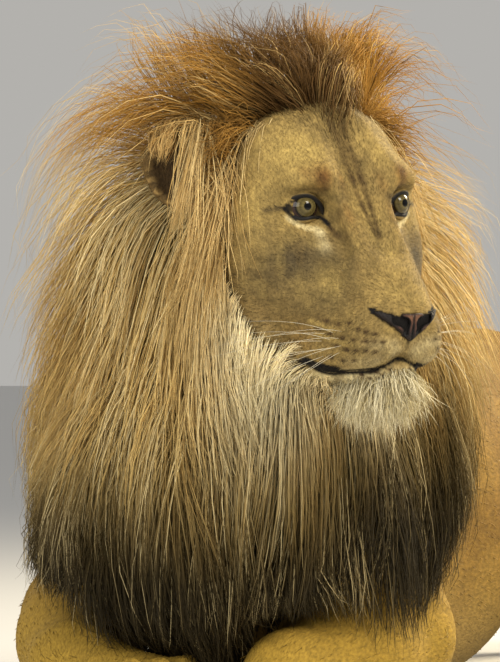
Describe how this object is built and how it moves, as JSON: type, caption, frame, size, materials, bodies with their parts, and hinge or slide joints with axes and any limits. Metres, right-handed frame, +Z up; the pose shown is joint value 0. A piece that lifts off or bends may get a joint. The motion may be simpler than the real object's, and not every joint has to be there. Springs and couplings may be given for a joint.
{
  "type": "life-size model of a male lion lying down",
  "caption": "Still life-size model of a maned male lion lying on its chest, head turned to its left and one forepaw folded in.",
  "frame": {"origin": "on the floor, at the flat under the front of the chest, on the trunk's middle plane", "axes": "+X to the lion's left, -Y ahead of its chest, +Z up"},
  "size_m": [0.7459, 1.736, 0.8797],
  "materials": {
    "coat": "short golden-tan fur",
    "pale_coat": "soft cream fur",
    "mane": "long blond and tan hair",
    "mane_crest": "long orange-brown hair",
    "mane_dark": "long dark brown hair",
    "nose": "moist dark nose leather",
    "eye": "wet amber eye with a round black pupil"
  },
  "bodies": {
    "root": {"head": "coat", "lower_jaw": "pale_coat", "nose_leather": "nose", "eye_left": "eye", "eye_right": "eye", "ear_left": "mane", "ear_right": "mane", "neck_crest_mane": "mane_crest", "neck_right_mane": "mane", "neck_left_mane": "mane", "throat_mane": "mane_dark", "torso": "coat", "upper_arm_left": "coat", "upper_arm_right": "coat", "forearm_left": "coat", "forearm_right": "coat", "forepaw_left": "coat", "forepaw_right": "coat", "thigh_left": "coat", "thigh_right": "coat", "shank_left": "coat", "shank_right": "coat", "hind_foot_left": "coat", "hind_foot_right": "coat", "tail_root": "coat", "tail_middle": "coat", "tail_tuft": "mane_dark"}
  },
  "joints": []
}
